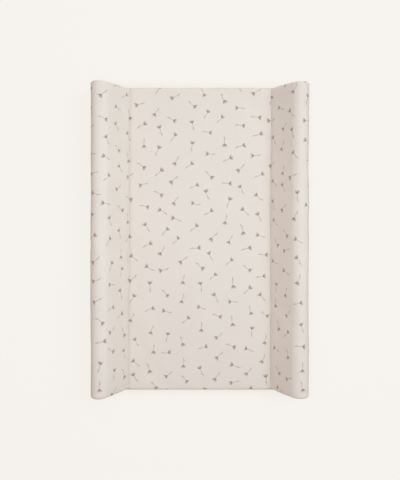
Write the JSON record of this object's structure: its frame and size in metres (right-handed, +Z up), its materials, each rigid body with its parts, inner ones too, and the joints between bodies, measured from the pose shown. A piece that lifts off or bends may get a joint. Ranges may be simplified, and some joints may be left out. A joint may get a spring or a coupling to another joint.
{
  "type": "changing mat",
  "caption": "Wedge-sided baby changing mat: flat padded centre between raised padded sides, open ends, printed cover over foam and board, with a zip in the foot end.",
  "frame": {"origin": "middle of the underside, on the surface that the mat lies on", "axes": "+X across the mat, +Y from the foot end to the head end, +Z up"},
  "size_m": [0.48, 0.7045, 0.1],
  "materials": {
    "printed_cloth": "matte",
    "plain_cloth": "matte",
    "lining": "matte",
    "foam": "matte",
    "hardboard": "matte",
    "zip_tape": "matte",
    "zip_coil": "satin",
    "nickel": "satin"
  },
  "bodies": {
    "mat": {"top_cover": "printed_cloth", "head_end_panel": "plain_cloth", "foot_end_panel": "plain_cloth", "bottom_cover": "plain_cloth", "inner_liner": "lining", "left_crease_tie": "lining", "right_crease_tie": "lining", "centre_foam": "foam", "left_wedge_foam": "foam", "right_wedge_foam": "foam", "base_board": "hardboard", "zip_upper_tape": "zip_tape", "zip_lower_tape": "zip_tape", "zip_upper_coil": "zip_coil", "zip_lower_coil": "zip_coil", "zip_start_stop": "nickel", "zip_end_stop": "nickel"},
    "zip_slider": {"zip_slider": "nickel"},
    "zip_pull": {"zip_pull": "nickel"}
  },
  "joints": [
    {"name": "zip_slide", "type": "slide", "parent": "mat", "child": "zip_slider", "axis": [-1, 0, 0], "range_m": [0, 0.4094]},
    {"name": "pull_swing", "type": "hinge", "parent": "zip_slider", "child": "zip_pull", "pos_m": [0.2047, -0.35287, 0.0103], "axis": [0, 0, 1], "range_deg": [0, 180]}
  ]
}
